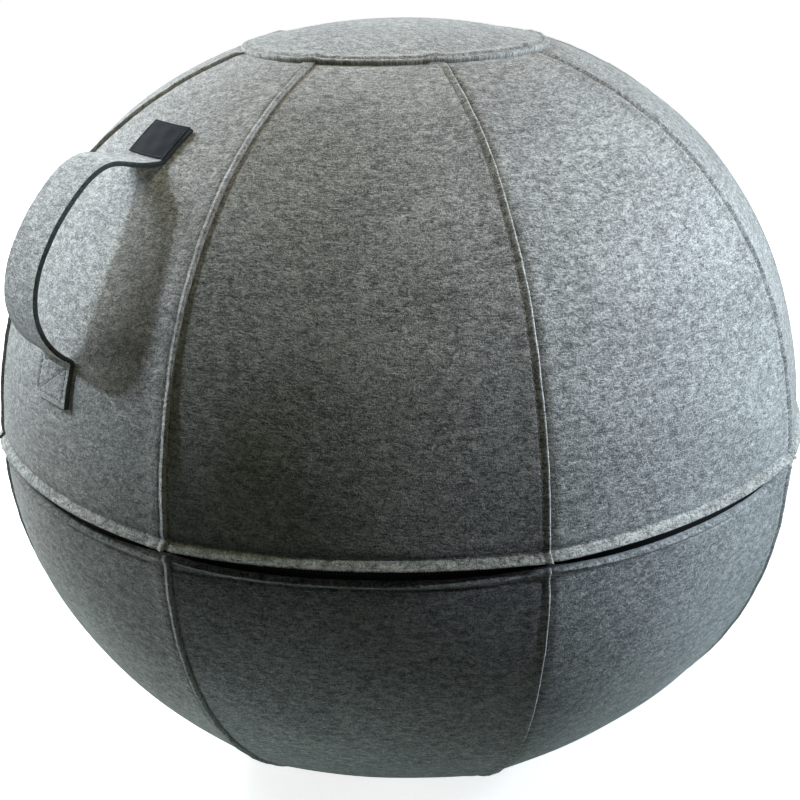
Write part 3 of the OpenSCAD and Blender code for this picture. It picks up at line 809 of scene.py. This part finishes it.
def strap():
    half, thick, near_fold = STRAP_W / 2, STRAP_T / 2, 12
    a, b = strap_section()
    s = np.concatenate([[0, 0.25, 0.7], np.arange(1.5, S_HI + near_fold, 1.5),
                        np.arange(S_HI + near_fold, S_LO - near_fold, 3.0),
                        np.arange(S_LO - near_fold, STRAP_LENGTH - 1, 0.8),
                        STRAP_LENGTH - np.array([0.7, 0.25, 0])])[:, None]
    ends = np.minimum(s, STRAP_LENGTH - s)
    taper = 1 - 0.45 * np.clip(1 - ends / 0.8, 0, 1) ** 2
    pressed = np.where(b > thick - 0.01, swell(near_rows(s, a), *STRAP_GROOVE), 0.0)
    # The cut sides aren't dead straight
    wander = 0.25 * np.sin(s / 17.0 + 1.1) + 0.12 * np.sin(s / 5.3)
    points = on_strap(s, a + wander * np.abs(a) / half, b * taper - pressed)
    rows, cols = points.shape[:2]
    wrap = ring_index(rows, cols)
    faces = [f for i in range(rows - 1) for f in strip_faces(wrap[i], wrap[i + 1])]
    faces += [wrap[0, :-1], wrap[-1, :-1][::-1]]
    flat = np.stack([a + 0 * s, s + np.where(b < 0, 60, 0)], -1).reshape(-1, 2) + STRAP_STRETCH
    fray_and_painted_light = np.maximum(np.clip(1 - ends / 1.3, 0, 1),
                     np.clip(1 - (half - np.abs(a)) / 1.2, 0, 1) * (b > 0))
    piece = make_mesh("felt_strap", points.reshape(-1, 3), faces, FELT, flat * MM, fray_and_painted_light.ravel())
    piece.data.materials.append(STRAP_EDGE)
    on_side = np.abs(np.append(a, a[0])) > half - STRAP_SIDE_R * 0.75
    dark = [*np.tile(on_side[:-1] & on_side[1:], rows - 1), False, False]
    piece.data.polygons.foreach_set("material_index", np.array(dark, np.int32))
    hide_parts("strap_loop", "strap_end_upper", "strap_end_lower")
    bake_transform(piece)


def tag():
    """The blank woven tag over the strap's upper end."""
    a = np.linspace(-TAG_W / 2, TAG_W / 2, 48)[None, :]
    s = np.linspace(TAG_FROM, TAG_L, 30)[:, None]
    edge = np.minimum(TAG_W / 2 - np.abs(a), np.minimum(s - TAG_FROM, TAG_L - s))
    low = STRAP_T / 2 + 0.1
    wave = 0.22 * (1 + np.sin(a / 3.7 + s / 9) * np.sin(s / 4.1 - a / 14)) * smooth(edge / 4)
    wave = wave + 0.35 * smooth(1 - edge / 1.5) - swell(edge - 2, *TAG_GROOVE)
    vertices, faces = shell(on_strap(s, a, low + TAG_T + wave),
                            on_strap(s, a, low + np.maximum(wave, 0)))
    uv = np.stack([a + 0 * s, s + 0 * a], -1).reshape(-1, 2)
    piece = make_mesh("woven_tag", vertices, faces[:, ::-1], TAG_CLOTH,
                      np.concatenate([uv, uv]) * MM)
    finish_piece(piece, "blank_tag")


def sewing(name, node, slot, material, rows, pitch=STITCH_PITCH, length=STITCH_L,
           radius=THREAD_R):
    """Rows of stitches, each a short thread whose ends go down into the cloth.

    rows is a list of (points, outward directions) in metres.
    """
    rings = 6
    f = np.linspace(0, 1, rings)
    lift = (1.35 * np.sin(np.pi * f) ** 0.6 - 0.75) * radius * MM
    width = (0.55 + 0.45 * np.sin(np.pi * f)) * radius * MM
    turn = np.linspace(0, 2 * np.pi, TUBE_SIDES, endpoint=False)
    threads = []
    for points, outs in rows:
        lengths = run_lengths(points)
        fit = lengths[-1] / (pitch * MM)
        count = max(int(fit), 1)
        starts = (np.arange(count) + (fit - count) / 2) * (pitch * MM)
        at = (starts[:, None] + (pitch - length) / 2 * MM + f * length * MM)
        centre = np.stack([np.interp(at, lengths, points[:, i]) for i in range(3)], -1)
        out = np.stack([np.interp(at, lengths, outs[:, i]) for i in range(3)], -1)
        out /= np.linalg.norm(out, axis=-1, keepdims=True)
        way = np.gradient(centre, axis=1)
        way /= np.linalg.norm(way, axis=-1, keepdims=True)
        side = np.cross(way, out)
        centre = centre + out * lift[:, None]
        ring = (side[:, :, None] * np.cos(turn)[:, None] + out[:, :, None] * np.sin(turn)[:, None])
        threads.append(centre[:, :, None] + ring * width[:, None, None])
    vertices = np.concatenate(threads).reshape(-1, 3)
    quads, caps = tube_faces(len(vertices) // (rings * TUBE_SIDES), rings, TUBE_SIDES)
    piece = make_mesh(name, vertices, [*quads, *caps], material, sharp=80)
    finish_piece(piece, node)


def out_at(t, phi):
    out_r, out_z = outward(t)
    a = np.radians(phi)
    return np.stack([out_r * np.sin(a), -out_r * np.cos(a), out_z + 0 * a], -1)


def felt_row(heights, t, x, e, k):
    """A sewn row on panel k, at x from its left seam."""
    phi = (k - 1.5) * PANEL_A + np.degrees(x / outline(t)[0])
    return place(phi, *skin(t, heights(t, x, e, phi, k)[0])), out_at(t, phi)


def seam_rows(heights, s0, s1):
    t = at_arc(np.arange(s0, s1, 1.0))
    width = outline(t)[0] * math.radians(PANEL_A)
    return [felt_row(heights, t, width - ROW_INSET, ROW_INSET + 0 * t, k)
            for k in range(1, PANELS + 1)]


def level_rows(heights, z):
    t = at_height(z)
    width = float(outline(t)[0]) * math.radians(PANEL_A)
    x = np.arange(0.8, width - 0.6, 1.0)
    return [felt_row(heights, t + 0 * x, x, width - x, k) for k in range(1, PANELS + 1)]


def ring_row(t_edge, side):
    t = at_arc(arc(t_edge) + side * ROW_INSET)
    phi = np.linspace(0, 360, 900)
    height = round_heights(ROW_INSET + 0 * phi, phi, outline(t)[0])[0]
    return [(place(phi, *skin(t + 0 * phi, height)), out_at(t + 0 * phi, phi))]


def strap_rows(pairs, b):
    rows = []
    for (s0, a0), (s1, a1) in pairs:
        f = np.linspace(0, 1, max(int(math.hypot(s1 - s0, a1 - a0)), 3))
        s, a = s0 + (s1 - s0) * f, a0 + (a1 - a0) * f
        points = on_strap(s, a, b + 0 * s)
        rows.append((points, (on_strap(s, a, b + 1 + 0 * s) - points) / MM))
    return rows


def all_sewing():
    grey = ("thread", THREAD)
    sewing("upper_seam_threads", "upper_seam_stitching", *grey,
           seam_rows(upper_heights, arc(at_height(LIP_ROW)) + 2, arc(T_CAP) - 2))
    sewing("lower_seam_threads", "lower_seam_stitching", *grey,
           seam_rows(lower_heights, arc(T_BASE) + 2, arc(at_height(HEM_ROW)) - 2))
    sewing("lip_threads", "lip_stitching", *grey, level_rows(upper_heights, LIP_ROW))
    sewing("hem_threads", "hem_stitching", *grey, level_rows(lower_heights, HEM_ROW))
    sewing("cap_threads", "cap_stitching", *grey, ring_row(T_CAP, 1))
    sewing("base_threads", "base_stitching", *grey, ring_row(T_BASE, -1))
    sewing("strap_threads", "strap_stitching", *grey, strap_rows(box_rows(), STRAP_T / 2 - 0.4),
           radius=0.42)
    x, high, low = TAG_W / 2 - 2, TAG_FROM + 2, TAG_L - 2
    corners = [(high, -x), (low, -x), (low, x), (high, x)]
    sewing("tag_threads", "tag_stitching", "tag_thread", TAG_THREAD,
           strap_rows(zip(corners, corners[1:] + corners[:1]), STRAP_T / 2 + TAG_T + 0.35),
           pitch=2.2, length=1.7, radius=0.16)


def zip_tape(side):
    """One woven tape of the zip, a ring behind the felt whose ends nearly meet at the back."""
    phi = np.linspace(180.05, 539.95, 721)[:, None]
    y = np.linspace(TEETH_FROM, TEETH_FROM + TAPE_W, 17)[None, :]
    t = at_height(ZIP_H + side * y) + 0 * phi
    ribs = TAPE_RIB * np.sin(2 * np.pi * y / TAPE_RIB_PITCH)
    outer, inner = (place(phi + 0 * y, *skin(t, d + ribs))
                    for d in (TAPE_OUT - TAPE_RIB, TAPE_OUT - TAPE_T + TAPE_RIB))
    vertices, faces = shell(outer, inner)
    around = np.radians(phi) * BALL_R
    uv = np.stack([around + 0 * y, y + 0 * phi], -1).reshape(-1, 2)
    half = "upper" if side > 0 else "lower"
    piece = make_mesh(f"zip_{half}_tape", vertices, faces if side < 0 else faces[:, ::-1],
                      TAPE_CLOTH, np.concatenate([uv, uv]) * MM)
    finish_piece(piece, f"zip_tape_{half}")


def zip_coil(side):
    """One row of the zip's teeth: the turns of a nylon coil, each a short rounded bow."""
    r = skin(at_height(ZIP_H), TAPE_OUT)[0]
    first, last = 180 + ZIP_BREAK / 2, 540 - ZIP_BREAK / 2
    count = int(math.radians(last - first) * r / TEETH_PITCH)
    phi = first + (np.arange(count) + 0.5) * (last - first) / count
    # A turn seen along the zip: up from the tape, over the head and back down. Its middle line
    # stays inside the teeth's width and thickness by the radius of the coil's thread
    rings, radius = 9, 0.36
    turn = np.radians(np.linspace(-60, 240, rings))
    along_y, along_d = 0.5 + 0.5 * np.cos(turn), 0.5 + 0.5 * np.sin(turn)
    y = TEETH_FROM + 0.35 + (TEETH_W - 0.75) * along_y
    d = TAPE_OUT + 0.42 + (TEETH_T - 0.8) * along_d
    lean = 0.5 * along_y - 0.25
    ring = np.linspace(0, 2 * np.pi, TUBE_SIDES, endpoint=False)
    way = np.stack([np.gradient(y), np.gradient(d)], -1)
    way /= np.linalg.norm(way, axis=1)[:, None]
    ys = y[:, None] - way[:, 1:] * radius * np.cos(ring)
    ds = d[:, None] + way[:, :1] * radius * np.cos(ring)
    ends = np.clip(np.minimum(np.arange(rings), rings - 1 - np.arange(rings)), 0.5, 1)[:, None]
    ls = lean[:, None] + radius * np.sin(ring) * 1.15 * ends
    phis = phi[:, None, None] + np.degrees(ls / r)
    t = at_height(ZIP_H + side * ys)
    points = place(phis, *skin(t + 0 * phis, ds + 0 * phis))
    quads, caps = tube_faces(count, rings, TUBE_SIDES)
    faces = [*quads, *caps] if side < 0 else [*quads[:, ::-1], *caps[:, ::-1]]
    half = "upper" if side > 0 else "lower"
    piece = make_mesh(f"zip_{half}_coil", points.reshape(-1, 3), faces, COIL, sharp=80)
    finish_piece(piece, f"zip_teeth_{half}")


def dress_cad_nodes():
    """The nodes whose shape is right keep it and get a finish, and three get softened edges."""
    # A width of 0 leaves the edges as they are: rounding folds the slider's and the clips' faces
    finishes = [("inner_ball", VINYL, 0), ("valve_plug", PLUG, 0.3), ("zip_end_stops", METAL, 0),
                ("zip_start_stop", METAL, 0.12), ("zip_slider", METAL, 0),
                ("zip_pull", BRIGHT_METAL, 0.3)]
    for name, material, width in finishes:
        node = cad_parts[name]
        node.data.materials.clear()
        node.data.materials.append(material)
        if width:
            # The frame's faces come apart at their edges, so they are joined before the rounding
            node.modifiers.new("joined", "WELD").merge_threshold = 0.005 * MM
            rounding = node.modifiers.new("rounded", "BEVEL")
            rounding.width = width * MM
            rounding.segments = 3
            rounding.limit_method = "ANGLE"
            rounding.angle_limit = math.radians(50)


for k in range(1, PANELS + 1):
    panel(1, k)
    panel(-1, k)
round_piece("felt_cap", "top_cap", 1, T_CAP)
round_piece("felt_base", "base_disc", -1, T_BASE)
strap()
tag()
all_sewing()
for side in (1, -1):
    zip_tape(side)
    zip_coil(side)
dress_cad_nodes()

# The camera stands as the photograph's did, and looks at the middle of the ball's widest circle
CAMERA_AZIMUTH, CAMERA_ELEVATION, CAMERA_AWAY = 51.03, 21.17, 1.1907
CAMERA_ROLL = -1.13
CAMERA_AIM_LEFT, CAMERA_AIM_UP = 0.0019, 0.0035
CAMERA_SENSOR, CAMERA_LENS = 36.0, 62.18
BALL_MIDDLE = Vector((0.0, 0.0, WIDEST * MM))


def direction(azimuth, elevation):
    """The way from the ball's middle, azimuth degrees round it from the front towards +X."""
    a, h = math.radians(azimuth), math.radians(elevation)
    return Vector((math.sin(a) * math.cos(h), -math.cos(a) * math.cos(h), math.sin(h)))


def add_object(name, data):
    thing = bpy.data.objects.new(name, data)
    bpy.context.scene.collection.objects.link(thing)
    return thing


def add_camera():
    data = bpy.data.cameras.new("camera")
    camera = add_object("camera", data)
    camera.location = BALL_MIDDLE + direction(CAMERA_AZIMUTH, CAMERA_ELEVATION) * CAMERA_AWAY
    a = math.radians(CAMERA_AZIMUTH)
    aim = Vector((-math.cos(a) * CAMERA_AIM_LEFT, -math.sin(a) * CAMERA_AIM_LEFT,
                  WIDEST * MM + CAMERA_AIM_UP))
    look = (aim - camera.location).to_track_quat("-Z", "Y").to_matrix()
    camera.rotation_euler = (look @ Matrix.Rotation(math.radians(CAMERA_ROLL), 3, "Z")).to_euler()
    data.sensor_width = CAMERA_SENSOR
    data.lens = CAMERA_LENS
    data.clip_start, data.clip_end = 0.05, 100.0
    bpy.context.scene.camera = camera


def lamp(name, kind, phi, height_angle, away, energy, colour, aim=None):
    """A lamp at phi degrees round the ball and height_angle above its middle.

    It points at the ball's middle, or at aim, which is a phi and a height.
    """
    data = bpy.data.lights.new(name, kind)
    data.energy = energy
    data.color = colour
    light = add_object(name, data)
    light.location = BALL_MIDDLE + away * direction(phi, height_angle)
    point = BALL_MIDDLE
    if aim:
        point = Vector(place(np.array(aim[0]), 300.0, np.array(aim[1])).tolist())
    light.rotation_euler = (point - light.location).to_track_quat("-Z", "Y").to_euler()
    return data


def area_light(name, *where, size, spread=180.0):
    data = lamp(name, "AREA", *where)
    data.shape = "RECTANGLE"
    data.size, data.size_y = size
    data.spread = math.radians(spread)


def spot_light(name, *where, radius, beam):
    data = lamp(name, "SPOT", *where)
    data.shadow_soft_size = radius
    data.spot_size, data.spot_blend = math.radians(beam), 1.0


def add_lamps():
    # The lamps on the left throw the strap's shadow
    area_light("left_light", -88, 25, 2.4, 46, (0.7, 0.88, 1.0), size=(0.5, 0.5))
    area_light("left_light_2", -75, 28, 2.4, 24, (0.93, 0.87, 1.0), size=(0.35, 0.45))
    area_light("left_light_3", -62, 30, 2.4, 11, (0.75, 1.0, 1.0), size=(0.35, 0.45))
    area_light("left_high_light", -75, 44, 2.4, 10.5, (0.88, 0.87, 0.87), size=(0.35, 0.45))
    area_light("left_low_light", -60, -1, 2.4, 21, (0.9, 0.95, 0.88), size=(0.5, 0.3))
    # Narrow beams brighten the strap's panel and the right side
    spot_light("handle_spot", -54, 34, 2.4, 190, (0.76, 0.87, 1.0), (-3, 482), radius=0.08,
               beam=8)
    area_light("right_light", 147, 25, 2.4, 1.5, (0.7, 0.85, 1.0), (95, 420), size=(0.5, 0.5),
               spread=28)
    spot_light("right_spot", 128, 30, 2.4, 265, (0.7, 0.82, 1.0), (91, 480), radius=0.2,
               beam=10.5)
    area_light("right_low_light", 156, -1, 2.6, 36, (0.7, 0.92, 1.0), size=(0.5, 0.3))
    area_light("back_light", 155, 65, 2.4, 14, (1.0, 0.8, 0.8), size=(1.2, 1.2))
    area_light("top_light", 75, 75, 2.2, 7.2, (0.9, 1.0, 0.62), size=(0.8, 0.8))


def add_floor():
    """A pale floor, white to the camera and in mirrors, and darker to other rays."""
    data = bpy.data.meshes.new("floor")
    half, drop = 30.0, 0.0004
    data.from_pydata([(-half, -half, 0), (half, -half, 0), (half, half, 0), (-half, half, 0)], [],
                     [(0, 1, 2, 3)])
    floor = add_object("floor", data)
    floor.location.z = -drop
    sh = Shader("pale_floor")
    camera_ray, seen = sh.rays()
    place_in = sh.in_object()
    dust = sh.ramp(sh.noise(place_in, (3, 3, 3)),
                   [(0.3, (0.8, 0.8, 0.8)), (0.7, (0.82, 0.82, 0.82))])
    # The bright part of the floor reaches further on the strap's side
    shifted = sh.add("ShaderNodeVectorMath", {0: place_in, 1: (0.085, 0.085, 0)},
                     operation="ADD").outputs[0]
    near = sh.ramp(sh.length(shifted), [(0.38, (0.78, 0.85, 0.82)), (0.56, (0.03, 0.032, 0.033))])
    # Bright enough far from the ball to meet the white background, and open to its shadow near it
    far = sh.add("ShaderNodeMapRange", {
        "Value": sh.length(place_in), "From Min": 0.3, "From Max": 1.1, "To Min": 0.8,
        "To Max": 1.0}, interpolation_type="SMOOTHSTEP").outputs["Result"]
    sh.principled(Base_Color=sh.mix(seen, near, dust), Roughness=0.9, Specular_IOR_Level=0.0,
                  Emission_Color=(1, 1, 1, 1),
                  Emission_Strength=sh.math("MULTIPLY", camera_ray, far))
    data.materials.append(sh.material)


def add_world():
    """A background that is white to the camera and in mirrors, and nearly dark to other rays."""
    world = bpy.data.worlds.new("studio")
    bpy.context.scene.world = world
    world.use_nodes = True
    sky = Nodes(world.node_tree)
    colour = sky.mix(sky.rays()[1], (0.007, 0.0075, 0.0075, 1), (1, 1, 1, 1))
    sky.set(world.node_tree.nodes["Background"].inputs["Color"], colour)


add_camera()
add_lamps()
add_floor()
add_world()
bpy.context.scene.view_settings.view_transform = "Standard"
